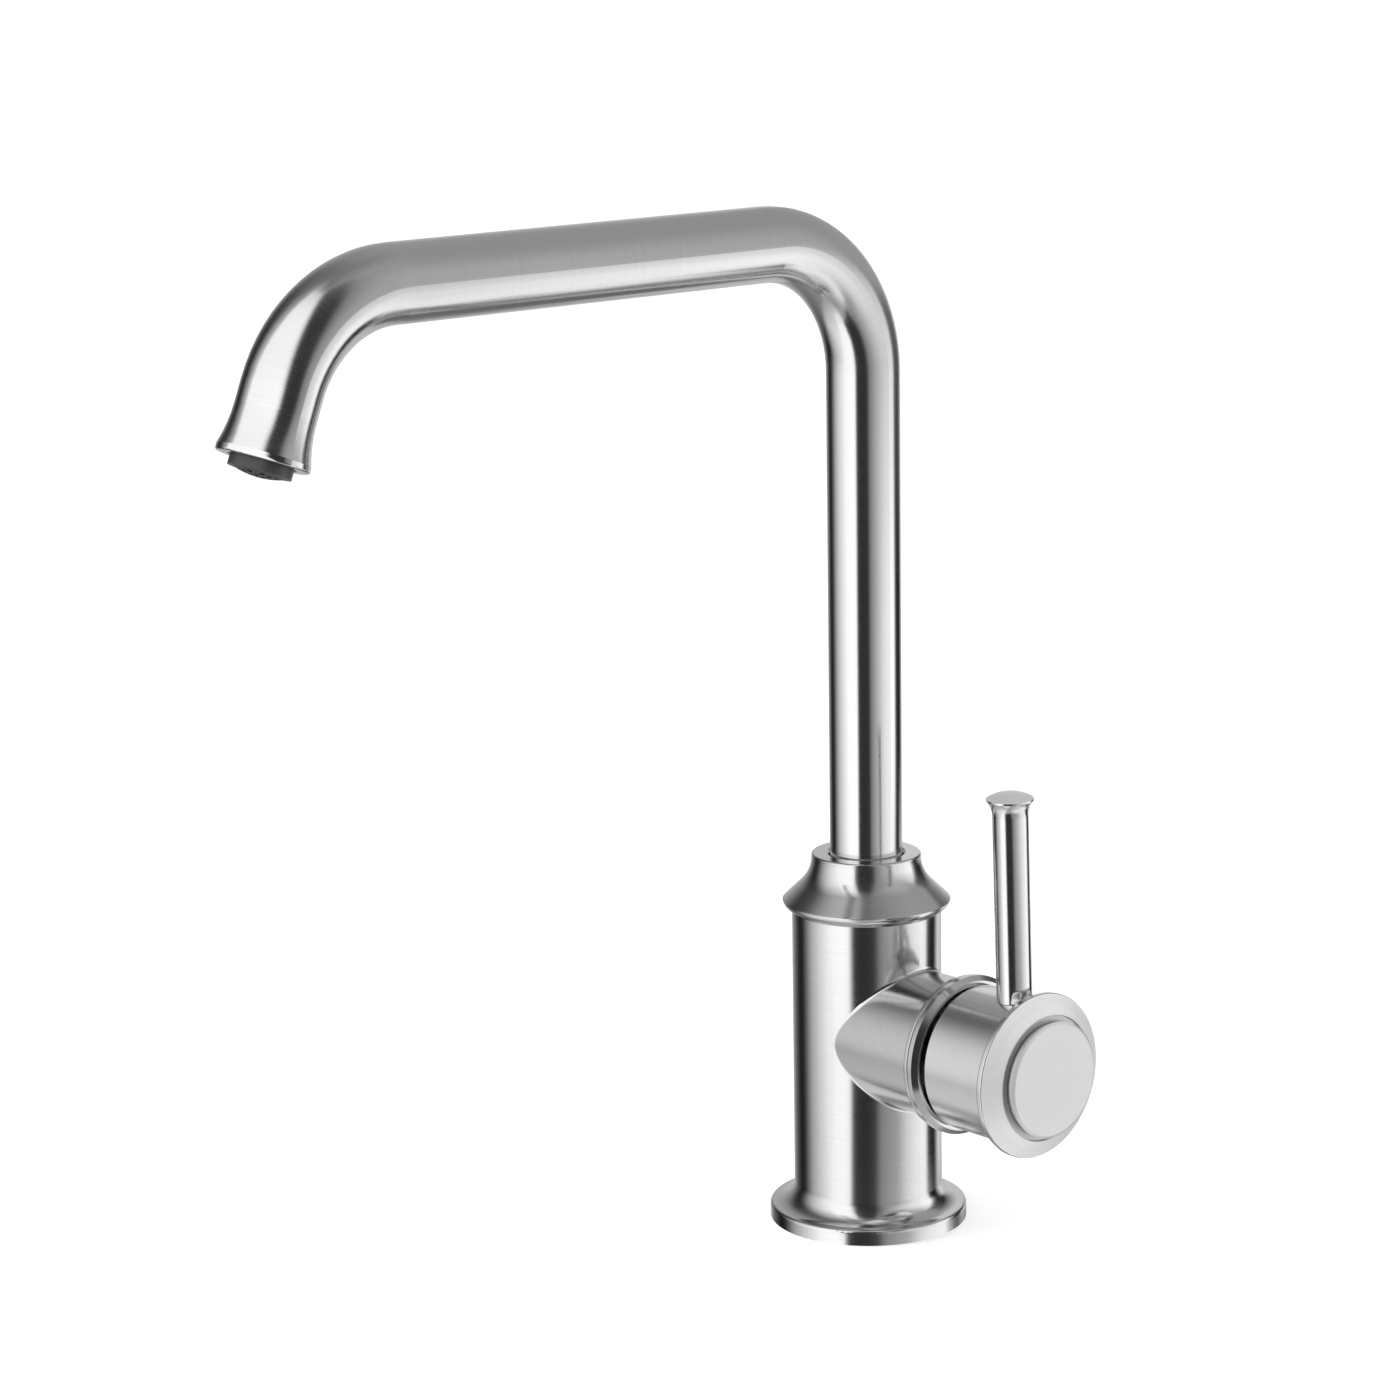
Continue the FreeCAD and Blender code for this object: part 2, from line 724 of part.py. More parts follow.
def line_from(place, heading, length):
    angle = math.radians(heading)
    end = (place[0] + length * math.sin(angle), place[1] + length * math.cos(angle))
    return Part.LineSegment(spout_point(place), spout_point(end)).toShape(), end


def spout_route():
    """The tube's centreline, from its foot up the riser and along the run, and the rim's centre."""
    run_heading = 90 + run_droop
    outlet_heading = 180 - outlet_lean
    riser, place = line_from((0, tube_foot), 0, run_height - elbow_r - tube_foot)
    elbow, place = arc_from(place, 0, run_heading, elbow_r)
    run, place = line_from(place, run_heading, run_reach - place[0])
    outlet_bend, place = arc_from(place, run_heading, outlet_heading - run_heading, outlet_bend_r)
    outlet, place = line_from(place, outlet_heading, outlet_straight)
    return Part.Wire([riser, elbow, run, outlet_bend, outlet]), place


def on_outlet_axis(shape):
    """Place a piece on the outlet's axis: its origin goes to the rim's centre and its Z points out."""
    placed = spun(shape, 180 - outlet_lean, X_AXIS)
    placed.translate(spout_point(spout_route()[1]))
    return placed


def swept_bar(radius):
    """A solid round bar along the spout's route."""
    section = Part.Face(Part.Wire(Part.makeCircle(radius, V(0, 0, tube_foot))))
    return spout_route()[0].makePipe(section)


def bell():
    """The flared mouth, with the aerator's threaded bore and its ledge."""
    edge_centre = (rim_r - rim_round, -rim_round)
    return on_outlet_axis(turned(
        (tube_bore_r, aerator_ledge_z),
        (tube_bore_r, -bell_length),
        (tube_r, -bell_length),
        flare(tube_r, -bell_length, rim_r, -rim_band),
        (rim_r, edge_centre[1]),
        bend(edge_centre, rim_round, 0, 90),
        (aerator_r, 0),
        (aerator_r, aerator_seal_z),
        (aerator_ledge_r, aerator_seal_z),
        (aerator_ledge_r, aerator_ledge_z),
    ))


def spout_tube():
    bell_space = on_outlet_axis(cylinder(rim_r, -bell_length, 0))
    pipe = swept_bar(tube_r).cut([swept_bar(tube_bore_r), bell_space])
    return pipe.fuse(bell()).removeSplitter()


def adapter_ring_heights():
    middle = (adapter_bottom + gland_floor) / 2
    return [middle - adapter_ring_pitch / 2, middle + adapter_ring_pitch / 2]


def spout_adapter():
    """Turned bush on the tube's foot: grooved plug, bearing flange and the sleeve that grips the tube."""
    adapter = turned(
        (adapter_bore_r, adapter_bottom),
        (adapter_plug_r, adapter_bottom),
        (adapter_plug_r, flange_bottom),
        (adapter_flange_r, flange_bottom),
        (adapter_flange_r, flange_top),
        (adapter_sleeve_r, flange_top),
        (adapter_sleeve_r, sleeve_top),
        (tube_r, sleeve_top),
        (tube_r, tube_foot),
        (adapter_bore_r, tube_foot),
    )
    heights = adapter_ring_heights()
    return adapter.cut([o_ring_groove(adapter_plug_r, adapter_ring_section, z) for z in heights])


def adapter_o_rings():
    heights = adapter_ring_heights()
    return Part.makeCompound([o_ring(adapter_plug_r, adapter_ring_section, z) for z in heights])


def aerator_housing():
    """Threaded shell with a key ring that shows under the rim."""
    return on_outlet_axis(turned(
        (aerator_inner_r, -aerator_depth),
        (aerator_r, -aerator_depth),
        (aerator_r, 0),
        (aerator_lip_r, 0),
        (aerator_lip_r, aerator_proud),
        (aerator_inner_r, aerator_proud),
    ))


def aerator_seal():
    return on_outlet_axis(ring(aerator_ledge_r, aerator_r, aerator_seal_z, -aerator_depth))


def aerator_strainer():
    """Perforated inlet cup that stands up through the seal."""
    cup_r = aerator_ledge_r - strainer_t
    crown = -aerator_depth - strainer_rise
    cup = turned(
        (0, crown),
        (cup_r, crown),
        (cup_r, -aerator_depth),
        (aerator_inner_r, -aerator_depth),
        (aerator_inner_r, strainer_t - aerator_depth),
        (cup_r - strainer_t, strainer_t - aerator_depth),
        (cup_r - strainer_t, crown + strainer_t),
        (0, crown + strainer_t),
    )
    holes = []
    for count, pitch_r in strainer_rings:
        hole = cylinder(diffuser_hole_r, crown, crown + strainer_t, pitch_r)
        holes += round_pattern(hole, count, 180 / count)
    return on_outlet_axis(cup.cut(holes))


def aerator_diffuser():
    start = strainer_t - aerator_depth
    plate = cylinder(aerator_inner_r, start, start + diffuser_t)
    hole = cylinder(diffuser_hole_r, start, start + diffuser_t, diffuser_pitch_r)
    return on_outlet_axis(plate.cut(round_pattern(hole, diffuser_hole_count)))


def aerator_nozzle():
    """Outlet grid with a bulging face."""
    start = aerator_proud - nozzle_t
    plug = turned(
        (0, start),
        (aerator_inner_r, start),
        (aerator_inner_r, aerator_proud),
        dome(aerator_inner_r, aerator_proud, nozzle_bulge),
    )
    hole = block(nozzle_hole_w, nozzle_hole_w, start, aerator_proud + nozzle_bulge)
    middle = (nozzle_rows - 1) / 2
    holes = []
    for row in range(nozzle_rows):
        for column in range(nozzle_rows):
            offset = V((row - middle) * nozzle_pitch, (column - middle) * nozzle_pitch, 0)
            if offset.Length + nozzle_hole_w < aerator_inner_r:
                placed = hole.copy()
                placed.translate(offset)
                holes.append(placed)
    return on_outlet_axis(plug.cut(holes))


nodes = {
    "valve_body": valve_body(),
    "base_seal": base_seal(),
    "spout_collar": spout_collar(),
    "lower_glide_ring": lower_glide_ring(),
    "upper_glide_ring": upper_glide_ring(),
    "cartridge_base": cartridge_base(),
    "cartridge_port_seals": port_seals(seat_x),
    "ceramic_disc_seals": port_seals(disc_x - port_seal_t),
    "fixed_ceramic_disc": fixed_ceramic_disc(),
    "cartridge_housing": cartridge_housing(),
    "cartridge_nut": cartridge_nut(),
    "trim_ring": trim_ring(),
    "moving_ceramic_disc": moving_ceramic_disc(),
    "disc_carrier": disc_carrier(),
    "spindle": spindle(),
    "spindle_o_ring": spindle_o_ring(),
    "handle_drum": handle_drum(),
    "handle_screw": handle_screw(),
    "end_cap": end_cap(),
    "lever_stud": lever_stud(),
    "lever_rod": lever_rod(),
    "spout_tube": spout_tube(),
    "spout_adapter": spout_adapter(),
    "adapter_o_rings": adapter_o_rings(),
    "aerator_seal": aerator_seal(),
    "aerator_housing": aerator_housing(),
    "aerator_strainer": aerator_strainer(),
    "aerator_diffuser": aerator_diffuser(),
    "aerator_nozzle": aerator_nozzle(),
}

os.makedirs("parts", exist_ok=True)
for name, shape in nodes.items():
    shape.exportStep("parts/" + name + ".step")
    box = shape.BoundBox
    print(name, len(shape.Solids), shape.isValid(), round(shape.Volume, 1),
          [round(v, 2) for v in (box.XMin, box.XMax, box.YMin, box.YMax, box.ZMin, box.ZMax)])
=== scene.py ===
import math

import bpy
from mathutils import Matrix, Vector


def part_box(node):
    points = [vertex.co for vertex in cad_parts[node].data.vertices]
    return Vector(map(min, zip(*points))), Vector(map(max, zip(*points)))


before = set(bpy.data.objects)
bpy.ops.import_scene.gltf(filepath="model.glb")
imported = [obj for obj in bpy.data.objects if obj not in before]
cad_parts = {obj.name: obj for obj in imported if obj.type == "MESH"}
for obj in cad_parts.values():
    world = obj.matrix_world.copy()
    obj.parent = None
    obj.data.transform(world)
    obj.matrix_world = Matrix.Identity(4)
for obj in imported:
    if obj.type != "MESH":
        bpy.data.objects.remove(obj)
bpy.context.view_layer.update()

MM = 0.001

# ---------------------------------------------------------------- view
VIEW_AZIMUTH = 45.93        # degrees; 0 looks along +Y
VIEW_DISTANCE = 1.0713      # camera to the body's axis, level
VIEW_HEIGHT = 0.3854
VIEW_PITCH = 11.86          # degrees down
VIEW_YAW = -2.62            # degrees right of the body's axis
VIEW_ROLL = -0.92
LENS_MM = 94.8
SENSOR_MM = 36.0

# ---------------------------------------------------------------- places, from model.glb where it has them
HANDLE_Z = sum(corner.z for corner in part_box("handle_drum")) / 2
RUN_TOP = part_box("spout_tube")[1].z
BELL_SWELL = 1.65 * MM      # the mouth's rim over the tube
TUBE_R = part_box("spout_tube")[1].x - BELL_SWELL
ELBOW_R = 39.0 * MM         # bend radii of the tube's centreline
OUTLET_BEND_R = 38.4 * MM
RUN_END = 170.1 * MM        # from the riser's axis to the outlet's bend
TIP_LEAST_DROP = 1 * MM     # keeps the outlet bend's angle defined at its centre


# ---------------------------------------------------------------- node helpers
MIX_COLOUR_LOW = 6          # a colour mix node's sockets, by number as their names repeat
MIX_COLOUR_HIGH = 7
MIX_COLOUR_RESULT = 2


class Graph:
    """A material's node tree, with short calls that add a node and link its inputs."""

    def __init__(self, material):
        self.tree = material.node_tree

    def add(self, kind, values=None, **settings):
        node = self.tree.nodes.new(kind)
        for name, value in settings.items():
            setattr(node, name, value)
        for socket, value in (values or {}).items():
            self.feed(node.inputs[socket], value)
        return node

    def feed(self, socket, value):
        if isinstance(value, bpy.types.NodeSocket):
            self.tree.links.new(value, socket)
        else:
            socket.default_value = value

    def math(self, operation, *values):
        return self.add("ShaderNodeMath", dict(enumerate(values)), operation=operation).outputs[0]

    def total(self, first, *others):
        result = first
        for value in others:
            result = self.math("ADD", result, value)
        return result

    def distance(self, across, up):
        """The distance from the line where both are 0."""
        squares = [self.math("MULTIPLY", part, part) for part in (across, up)]
        return self.math("SQRT", self.math("ADD", *squares))

    def mix(self, factor, low, high):
        """A number between two others."""
        node = self.add("ShaderNodeMix", data_type="FLOAT")
        for socket, value in zip(node.inputs[:4], (factor, None, low, high)):
            if value is not None:
                self.feed(socket, value)
        return node.outputs[0]

    def vary(self, factor, middle, reach):
        """A number up to `reach` below or above `middle`."""
        return self.mix(factor, middle - reach, middle + reach)

    def mix_colours(self, factor, low, high):
        node = self.add("ShaderNodeMix", data_type="RGBA")
        self.feed(node.inputs["Factor"], factor)
        self.feed(node.inputs[MIX_COLOUR_LOW], low)
        self.feed(node.inputs[MIX_COLOUR_HIGH], high)
        return node.outputs[MIX_COLOUR_RESULT]

    def ramp(self, value, start, end):
        """0 up to `start`, 1 from `end` on and straight between."""
        limits = {"Value": value, "From Min": start, "From Max": end}
        return self.add("ShaderNodeMapRange", limits).outputs[0]

    def noise(self, vector, scale, detail=2.0):
        values = {"Vector": vector, "Scale": scale, "Detail": detail}
        return self.add("ShaderNodeTexNoise", values).outputs["Fac"]

    def object_place(self):
        place = self.add("ShaderNodeTexCoord").outputs["Object"]
        return self.add("ShaderNodeSeparateXYZ", {"Vector": place}).outputs

    def vector(self, x, y, z):
        return self.add("ShaderNodeCombineXYZ", {0: x, 1: y, 2: z}).outputs[0]


def new_material(name):
    material = bpy.data.materials.new(name)
    material.use_nodes = True
    material.node_tree.nodes.clear()
    return material, Graph(material)


def finish_material(graph, shader):
    graph.add("ShaderNodeOutputMaterial", {"Surface": shader})


# ---------------------------------------------------------------- where a finish's grain runs
def round_z(graph):
    """Grain round the body's axis: it varies up the walls and outwards on the flats."""
    x, y, z = graph.object_place()
    return graph.total(graph.distance(x, y), z)


def round_handle(graph):
    """Grain round the handle's axis."""
    x, y, z = graph.object_place()
    up = graph.math("SUBTRACT", z, HANDLE_Z)
    return graph.total(graph.distance(y, up), x)


def round_lever(graph):
    """Grain round the lever, which stands upright at rest."""
    return graph.object_place()["Z"]


def round_spout(graph):
    """Grain round the bent tube: the length along its centreline, through both bends."""
    x, y, z = graph.object_place()
    reach = graph.math("MULTIPLY", y, -1.0)
    elbow_z = RUN_TOP - TUBE_R - ELBOW_R
    rise = graph.math("SUBTRACT", z, elbow_z)
    inward = graph.math("SUBTRACT", ELBOW_R, reach)
    turn = graph.math("ARCTAN2", graph.math("MAXIMUM", rise, 0.0), graph.math("MAXIMUM", inward, 0.0))
    riser = graph.math("MINIMUM", rise, 0.0)
    run = graph.math("MAXIMUM", graph.math("SUBTRACT", reach, ELBOW_R), 0.0)
    run = graph.math("MINIMUM", run, RUN_END - ELBOW_R)
    past_run = graph.math("MAXIMUM", graph.math("SUBTRACT", reach, RUN_END), 0.0)
    drop = graph.math("SUBTRACT", z, RUN_TOP - TUBE_R - OUTLET_BEND_R)
    tip_turn = graph.math("ARCTAN2", past_run, graph.math("MAXIMUM", drop, TIP_LEAST_DROP))
    elbow = graph.math("MULTIPLY", turn, ELBOW_R)
    tip = graph.math("MULTIPLY", tip_turn, OUTLET_BEND_R)
    tail = graph.math("MULTIPLY", graph.math("MINIMUM", drop, 0.0), -1.0)
    return graph.total(riser, elbow, run, tip, tail)


# ---------------------------------------------------------------- steel
GRAIN_PER_M = 5200.0        # brushing lines, about 0.2 mm apart
GRAIN_DRIFT_PER_M = 60.0    # how fast a line changes sideways
GRAIN_TONE = 0.05
GRAIN_ROUGHNESS = 0.03
BAND_PER_M = 900.0          # slower bands of the same brushing
BAND_DRIFT_PER_M = 25.0
BAND_ROUGHNESS = 0.02
BAND_HEIGHT = 0.4           # against the lines' own height
SMUDGE_PER_M = 38.0
SMUDGE_TONE = 0.015
SMUDGE_ROUGHNESS = (-0.012, 0.018)
WORN_POINTINESS = (0.52, 0.62)
WORN_TONE = 0.06
WORN_ROUGHNESS = 0.04
STEEL_BLUE = 0.994          # blue against red and green
STEEL_BUMP = 0.06
STEEL_BUMP_DEPTH = 0.02 * MM
SATIN_FACING = (0.76, 0.84)  # a face square to the axis has 1
# painted light: how much paler the faces along the named axis are made than the steel's own tone
SATIN_PAINTED_LIGHT = 0.07
SATIN_ROUGHER = 0.28
SATIN_METALLIC = 0.55


def brushing(graph, along, per_m, drift_per_m, detail):
    """Noise drawn out into lines that follow each other along the lay."""
    x, y, z = graph.object_place()
    lines = graph.math("MULTIPLY", along, per_m)
    drift = [graph.math("MULTIPLY", place, drift_per_m) for place in (x, y)]
    return graph.noise(graph.vector(lines, *drift), 1.0, detail)


def brushed_steel(name, lay, tone=0.66, roughness=0.16, grain=1.0, satin_painted_light_faces=None):
    """Polished steel: fine lines and slower bands along `lay`, faint smudges, and edges worn brighter.

    What faces along the axis that the last argument names, X or Z, has a rougher, less metallic satin
    finish, and its paler colour there is painted light.
    """
    material, graph = new_material(name)
    along = lay(graph)
    fine = brushing(graph, along, GRAIN_PER_M, GRAIN_DRIFT_PER_M, 3.0)
    band = brushing(graph, along, BAND_PER_M, BAND_DRIFT_PER_M, 2.0)
    smudge = graph.noise(graph.vector(*graph.object_place()), SMUDGE_PER_M, 3.0)
    worn = graph.ramp(graph.add("ShaderNodeNewGeometry").outputs["Pointiness"], *WORN_POINTINESS)
    level = graph.total(
        graph.vary(fine, tone, GRAIN_TONE * grain),
        graph.vary(smudge, 0.0, SMUDGE_TONE),
        graph.math("MULTIPLY", worn, WORN_TONE),
    )
    rough = graph.total(
        graph.vary(fine, roughness, GRAIN_ROUGHNESS * grain),
        graph.vary(band, 0.0, BAND_ROUGHNESS * grain),
        graph.mix(smudge, *SMUDGE_ROUGHNESS),
    )
    rough = graph.math("SUBTRACT", rough, graph.math("MULTIPLY", worn, WORN_ROUGHNESS))
    metallic = 1.0
    if satin_painted_light_faces:
        normal = graph.add("ShaderNodeTexCoord").outputs["Normal"]
        facing = graph.add("ShaderNodeSeparateXYZ", {"Vector": normal}).outputs[satin_painted_light_faces]
        satin = graph.ramp(facing, *SATIN_FACING)
        # painted light: faces along the named axis are made paler, standing in for light on them
        level = graph.total(level, graph.math("MULTIPLY", satin, SATIN_PAINTED_LIGHT))
        rough = graph.total(rough, graph.math("MULTIPLY", satin, SATIN_ROUGHER))
        metallic = graph.mix(satin, 1.0, SATIN_METALLIC)
    blue = graph.math("MULTIPLY", level, STEEL_BLUE)
    colour = graph.add("ShaderNodeCombineColor", {0: level, 1: level, 2: blue})
    height = graph.total(fine, graph.math("MULTIPLY", band, BAND_HEIGHT))
    bump = graph.add("ShaderNodeBump", {
        "Height": height,
        "Strength": STEEL_BUMP * grain,
        "Distance": STEEL_BUMP_DEPTH,
    })
    shader = graph.add("ShaderNodeBsdfPrincipled", {
        "Base Color": colour.outputs[0],
        "Metallic": metallic,
        "Roughness": rough,
        "Normal": bump.outputs[0],
    })
    finish_material(graph, shader.outputs[0])
    return material


# ---------------------------------------------------------------- inner materials
MOULDED_TONE_PER_M = 90.0
MOULDED_DARKER = 0.9
MOULDED_PALER = 1.1
MOULDED_ROUGHNESS = 0.06
MOULDED_BUMP_DEPTH = 0.05 * MM
BRASS_LINES_PER_M = 2600.0
BRASS_DARK = (0.64, 0.46, 0.2, 1.0)
BRASS_PALE = (0.76, 0.58, 0.3, 1.0)
BRASS_ROUGHNESS = (0.22, 0.34)
BRASS_BUMP = 0.15
BRASS_BUMP_DEPTH = 0.03 * MM


def moulded(name, colour, roughness, texture_per_m=2500.0, bump_strength=0.12, subsurface=0.0):
    """Moulded plastic, rubber or ceramic: a fine skin texture with slow changes of tone."""
    material, graph = new_material(name)
    place = graph.vector(*graph.object_place())
    skin = graph.noise(place, texture_per_m)
    slow = graph.noise(place, MOULDED_TONE_PER_M)
    darker = [part * MOULDED_DARKER for part in colour] + [1.0]
    paler = [min(1.0, part * MOULDED_PALER) for part in colour] + [1.0]
    bump = graph.add("ShaderNodeBump", {
        "Height": skin,
        "Strength": bump_strength,
        "Distance": MOULDED_BUMP_DEPTH,
    })
    shader = graph.add("ShaderNodeBsdfPrincipled", {
        "Base Color": graph.mix_colours(slow, darker, paler),
        "Roughness": graph.vary(skin, roughness, MOULDED_ROUGHNESS),
        "Normal": bump.outputs[0],
        "Subsurface Weight": subsurface,
    })
    finish_material(graph, shader.outputs[0])
    return material


def machined_brass(name):
    """Turned brass with fine tool lines."""
    material, graph = new_material(name)
    x, y, z = graph.object_place()
    along = graph.math("MULTIPLY", graph.math("ADD", x, z), BRASS_LINES_PER_M)
    lines = graph.noise(graph.vector(along, y, x), 1.0)
    bump = graph.add("ShaderNodeBump", {
        "Height": lines,
        "Strength": BRASS_BUMP,
        "Distance": BRASS_BUMP_DEPTH,
    })
    shader = graph.add("ShaderNodeBsdfPrincipled", {
        "Base Color": graph.mix_colours(lines, BRASS_DARK, BRASS_PALE),
        "Metallic": 1.0,
        "Roughness": graph.mix(lines, *BRASS_ROUGHNESS),
        "Normal": bump.outputs[0],
    })
    finish_material(graph, shader.outputs[0])
    return material


def dress(material, *node_names):
    for node_name in node_names:
        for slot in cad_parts[node_name].material_slots:
            slot.material = material


def dress_all():
    dress(brushed_steel("steel_body", round_z), "valve_body")
    dress(brushed_steel("steel_collar", round_z), "spout_collar")
    dress(brushed_steel("steel_ring", round_handle), "trim_ring")
    dress(brushed_steel("steel_drum", round_handle, 0.78, 0.2, satin_painted_light_faces="X"), "handle_drum")
    dress(brushed_steel("steel_cap", round_handle, 0.58, satin_painted_light_faces="X"), "end_cap")
    dress(brushed_steel("steel_lever", round_lever, roughness=0.15, satin_painted_light_faces="Z"), "lever_rod")
    dress(brushed_steel("steel_spout", round_spout), "spout_tube")
    dress(brushed_steel("steel_fastener", round_handle, 0.5, 0.3), "handle_screw", "lever_stud")
    dress(machined_brass("brass_machined"), "spindle", "cartridge_nut", "spout_adapter")
    dress(moulded("alumina_lapped", (0.86, 0.84, 0.8), 0.2, 900.0, 0.03), "fixed_ceramic_disc",
          "moving_ceramic_disc")
    dress(moulded("plastic_white", (0.8, 0.8, 0.77), 0.42, subsurface=0.05), "lower_glide_ring",
          "upper_glide_ring", "disc_carrier", "aerator_strainer", "aerator_diffuser")
    dress(moulded("plastic_cartridge", (0.2, 0.22, 0.25), 0.4), "cartridge_base", "cartridge_housing")
    dress(moulded("rubber_seal", (0.02, 0.02, 0.02), 0.62, 1800.0, 0.2), "base_seal", "cartridge_port_seals",
          "ceramic_disc_seals", "spindle_o_ring", "adapter_o_rings", "aerator_seal")
    dress(moulded("plastic_aerator", (0.055, 0.055, 0.057), 0.38), "aerator_housing", "aerator_nozzle")


# ---------------------------------------------------------------- studio
FLOOR_HALF = 30.0
FLOOR_ALBEDO = 0.8
FLOOR_ROUGHNESS = 0.9
FLOOR_LIFT = 0.4            # white added to the floor as the camera sees it
AMBIENT = 0.8               # world light on matt surfaces
LAMP_SIZE = 1.0
LAMP_AIM = (0, -0.05, 0.1)
LAMPS = (
    ("lamp_key", (-0.9, -1.1, 1.5), 9.0),   # name, place, watts
    ("lamp_fill", (1.3, 0.2, 1.2), 5.0),
)

SURROUND_R = 12.0
SURROUND_STEP = 2.0         # degrees
# The surround's glow as polished metal sees it: (degrees to the right of the camera's direction, glow)
# at each elevation. Soft stripes low down fade to a grey top.
UNDER_GLOW = (
    (-180, 0.25), (-160, 0.20), (-125, 0.20), (-108, 0.80), (-60, 1.20), (-30, 1.20), (-15, 0.50),
    (10, 0.50), (40, 1.10), (106, 1.25), (118, 0.40), (130, 0.15), (165, 0.18), (180, 0.25),
)
FLOOR_GLOW = (
    (-180, 0.65), (-163, 0.50), (-150, 0.20), (-137, 0.08), (-128, 0.01), (-116, 0.01), (-108, 0.12),
    (-95, 0.50), (-75, 0.90), (-58, 1.30), (-40, 1.45), (-28, 1.40), (-23, 0.04), (-4, 0.03), (10, 0.06),
    (20, 0.33), (45, 0.48), (60, 0.88), (78, 1.18), (96, 1.35), (101, 1.20), (105, 0.00), (125, 0.00),
    (134, 0.60), (141, 0.95), (152, 0.65), (180, 0.65),
)
LEVEL_GLOW = (
    (-180, 0.70), (-165, 0.50), (-150, 0.30), (-137, 0.08), (-128, 0.02), (-118, 0.03), (-108, 0.22),
    (-92, 0.70), (-75, 1.08), (-58, 1.40), (-29, 1.50), (-25, 1.45), (-20, 0.03), (12, 0.04), (20, 0.28),
    (40, 0.62), (60, 1.00), (80, 1.25), (104, 1.50), (111, 0.30), (118, 0.03), (138, 0.01), (150, 0.30),
    (165, 0.70), (180, 0.70),
)
UPPER_GLOW = (
    (-180, 0.42), (-160, 0.38), (-148, 0.20), (-137, 0.06), (-118, 0.04), (-108, 0.20), (-92, 0.68),
    (-75, 1.08), (-58, 1.30), (-29, 1.35), (-25, 1.30), (-19, 0.04), (10, 0.05), (20, 0.28), (45, 0.50),
    (70, 0.56), (92, 0.50), (110, 0.42), (180, 0.42),
)
HIGH_GLOW = (
    (-180, 0.38), (-145, 0.20), (-118, 0.18), (-100, 0.40), (-60, 0.85), (-30, 0.80), (-13, 0.16),
    (8, 0.16), (30, 0.36), (70, 0.42), (110, 0.39), (180, 0.38),
)
GLOW_LEVELS = (
    (-90, ((-180, 0.40), (180, 0.40))),
    (-45, UNDER_GLOW),
    (-20, FLOOR_GLOW),
    (-9, LEVEL_GLOW),
    (8, LEVEL_GLOW),
    (30, UPPER_GLOW),
    (60, HIGH_GLOW),
    (90, ((-180, 0.22), (180, 0.22))),
)

# A near wall in front and on the right, so that its stripes shift from one part of the tap to the next.
# Each level is a height with its glow. From the height of the spout's run upwards the right side greys.
WALL_START = -58.0          # degrees to the right of the camera's direction
WALL_STEP = 0.01
WALL_RADIUS = ((-58, 0.29), (20, 0.29), (80, 0.42), (180, 0.42))
WALL_TOP_GLOW = (
    (-58, 1.40), (-29, 1.50), (-25, 1.45), (-20, 0.03), (12, 0.04), (20, 0.28), (40, 0.48), (60, 0.58),
    (80, 0.66), (104, 0.85), (110, 0.30), (118, 0.16), (136, 0.16), (150, 0.40), (165, 0.80), (180, 0.80),
)
WALL_LEVELS = (
    (-0.40, UNDER_GLOW),
    (-0.16, UNDER_GLOW),
    (-0.125, FLOOR_GLOW),
    (-0.02, FLOOR_GLOW),
    (0.05, LEVEL_GLOW),
    (0.12, LEVEL_GLOW),
    (0.29, WALL_TOP_GLOW),
    (0.34, UPPER_GLOW),
    (0.44, UPPER_GLOW),
    (0.80, HIGH_GLOW),
)


def seen_white(graph):
    """1 for camera, glossy and transmission rays, and 0 for the light on matt surfaces."""
    path = graph.add("ShaderNodeLightPath").outputs
    seen = graph.math("ADD", path["Is Camera Ray"], path["Is Glossy Ray"])
    return graph.math("MINIMUM", graph.math("ADD", seen, path["Is Transmission Ray"]), 1.0)


def make_world():
    world = bpy.data.worlds.new("studio_world")
    world.use_nodes = True
    world.node_tree.nodes.clear()
    graph = Graph(world)
    strength = graph.mix(seen_white(graph), AMBIENT, 1.0)
    background = graph.add("ShaderNodeBackground", {"Color": (1, 1, 1, 1), "Strength": strength})
    graph.add("ShaderNodeOutputWorld", {"Surface": background.outputs[0]})
    bpy.context.scene.world = world


def mesh_object(name, points, faces, material):
    mesh = bpy.data.meshes.new(name)
    mesh.from_pydata(points, [], faces)
    mesh.materials.append(material)
    made = bpy.data.objects.new(name, mesh)
    bpy.context.scene.collection.objects.link(made)
    return made


def make_floor():
    material, graph = new_material("floor_pale")
    matt = graph.add("ShaderNodeBsdfPrincipled", {
        "Base Color": (FLOOR_ALBEDO, FLOOR_ALBEDO, FLOOR_ALBEDO, 1.0),
        "Roughness": FLOOR_ROUGHNESS,
        "Specular IOR Level": 0.0,
    })
    lift = graph.add("ShaderNodeEmission", {
        "Color": (1, 1, 1, 1),
        "Strength": graph.math("MULTIPLY", seen_white(graph), FLOOR_LIFT),
    })
    both = graph.add("ShaderNodeAddShader", {0: matt.outputs[0], 1: lift.outputs[0]})
    finish_material(graph, both.outputs[0])
    half = FLOOR_HALF
    corners = [(-half, -half, 0), (half, -half, 0), (half, half, 0), (-half, half, 0)]
    floor = mesh_object("floor", corners, [(0, 1, 2, 3)], material)
    floor.visible_glossy = False


def glow_material():
    material, graph = new_material("surround_glow")
    glow = graph.add("ShaderNodeAttribute", attribute_name="glow").outputs["Fac"]
    shader = graph.add("ShaderNodeEmission", {"Color": (1, 1, 1, 1), "Strength": glow})
    finish_material(graph, shader.outputs[0])
    return material


def between(stops, place):
    """The value at `place` on straight lines through the stops."""
    for (start, low), (end, high) in zip(stops, stops[1:]):
        if place <= end:
            return low + (high - low) * (place - start) / (end - start)
    return stops[-1][1]


def glow_at(levels, degrees, level):
    return between([(height, between(stops, degrees)) for height, stops in levels], level)


def span(low, high, step):
    """The number of points from `low` to `high`, and those two ends."""
    return round((high - low) / step) + 1, low, high


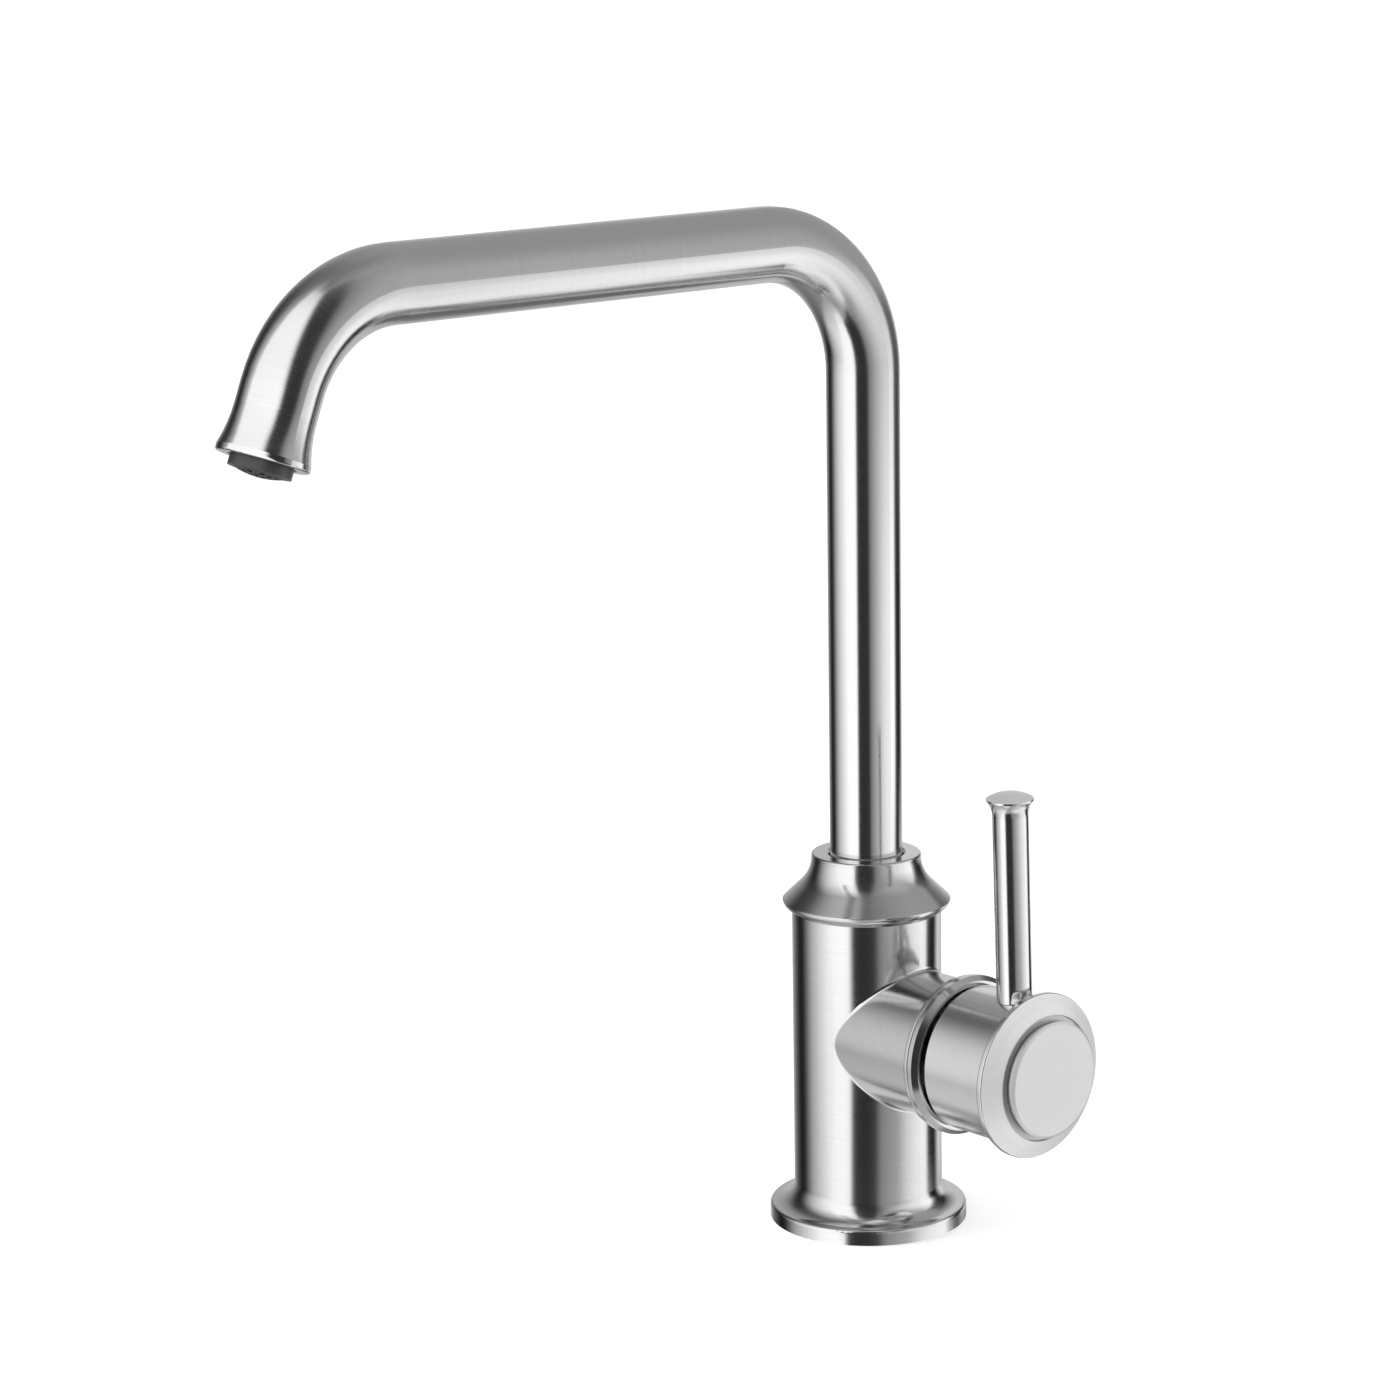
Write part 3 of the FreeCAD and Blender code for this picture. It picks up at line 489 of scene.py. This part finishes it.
def make_reflected(name, spans, levels, place, material):
    """A curved sheet that only reflections see, with its glow set point by point from `levels`."""
    (columns, start, end), (rows, low, high) = spans
    points = []
    glows = []
    faces = []
    for column in range(columns):
        degrees = start + (end - start) * column / (columns - 1)
        azimuth = math.radians(VIEW_AZIMUTH - 90 + degrees)
        for row in range(rows):
            level = low + (high - low) * row / (rows - 1)
            radius, height = place(degrees, level)
            points.append((radius * math.cos(azimuth), radius * math.sin(azimuth), height))
            glows.append(glow_at(levels, degrees, level))
    for column in range(columns - 1):
        for row in range(rows - 1):
            corner = column * rows + row
            faces.append((corner, corner + rows, corner + rows + 1, corner + 1))
    sheet = mesh_object(name, points, faces, material)
    glow = sheet.data.attributes.new("glow", "FLOAT", "POINT")
    glow.data.foreach_set("value", glows)
    sheet.visible_camera = False
    sheet.visible_diffuse = False
    sheet.visible_shadow = False
    sheet.visible_transmission = False
    sheet.visible_volume_scatter = False


def on_sphere(degrees, elevation):
    angle = math.radians(elevation)
    return SURROUND_R * math.cos(angle), SURROUND_R * math.sin(angle)


def on_wall(degrees, height):
    return between(WALL_RADIUS, degrees), height


def make_surround():
    material = glow_material()
    sphere = (span(-180, 180, SURROUND_STEP), span(-90, 90, SURROUND_STEP))
    make_reflected("surround", sphere, GLOW_LEVELS, on_sphere, material)
    low = WALL_LEVELS[0][0]
    high = WALL_LEVELS[-1][0]
    wall = (span(WALL_START, 180, SURROUND_STEP), span(low, high, WALL_STEP))
    make_reflected("wall_near", wall, WALL_LEVELS, on_wall, material)


def make_lamp(name, place, watts):
    lamp = bpy.data.lights.new(name, "AREA")
    lamp.shape = "DISK"
    lamp.size = LAMP_SIZE
    lamp.energy = watts
    holder = bpy.data.objects.new(name, lamp)
    holder.location = place
    away = Vector(place) - Vector(LAMP_AIM)
    holder.rotation_euler = away.to_track_quat("Z", "Y").to_euler()
    holder.visible_glossy = False
    bpy.context.scene.collection.objects.link(holder)


def make_studio():
    make_world()
    make_floor()
    make_surround()
    for name, place, watts in LAMPS:
        make_lamp(name, place, watts)


def make_camera():
    camera = bpy.data.cameras.new("camera")
    camera.sensor_fit = "HORIZONTAL"
    camera.sensor_width = SENSOR_MM
    camera.lens = LENS_MM
    camera.clip_start = 0.01
    camera.clip_end = 100.0
    holder = bpy.data.objects.new("camera", camera)
    azimuth = math.radians(VIEW_AZIMUTH)
    place = (VIEW_DISTANCE * math.sin(azimuth), -VIEW_DISTANCE * math.cos(azimuth), VIEW_HEIGHT)
    holder.matrix_world = (
        Matrix.Translation(place)
        @ Matrix.Rotation(azimuth - math.radians(VIEW_YAW), 4, "Z")
        @ Matrix.Rotation(math.radians(90 - VIEW_PITCH), 4, "X")
        @ Matrix.Rotation(math.radians(VIEW_ROLL), 4, "Z")
    )
    bpy.context.scene.collection.objects.link(holder)
    bpy.context.scene.camera = holder


make_camera()
make_studio()
dress_all()
bpy.context.scene.view_settings.view_transform = "Standard"
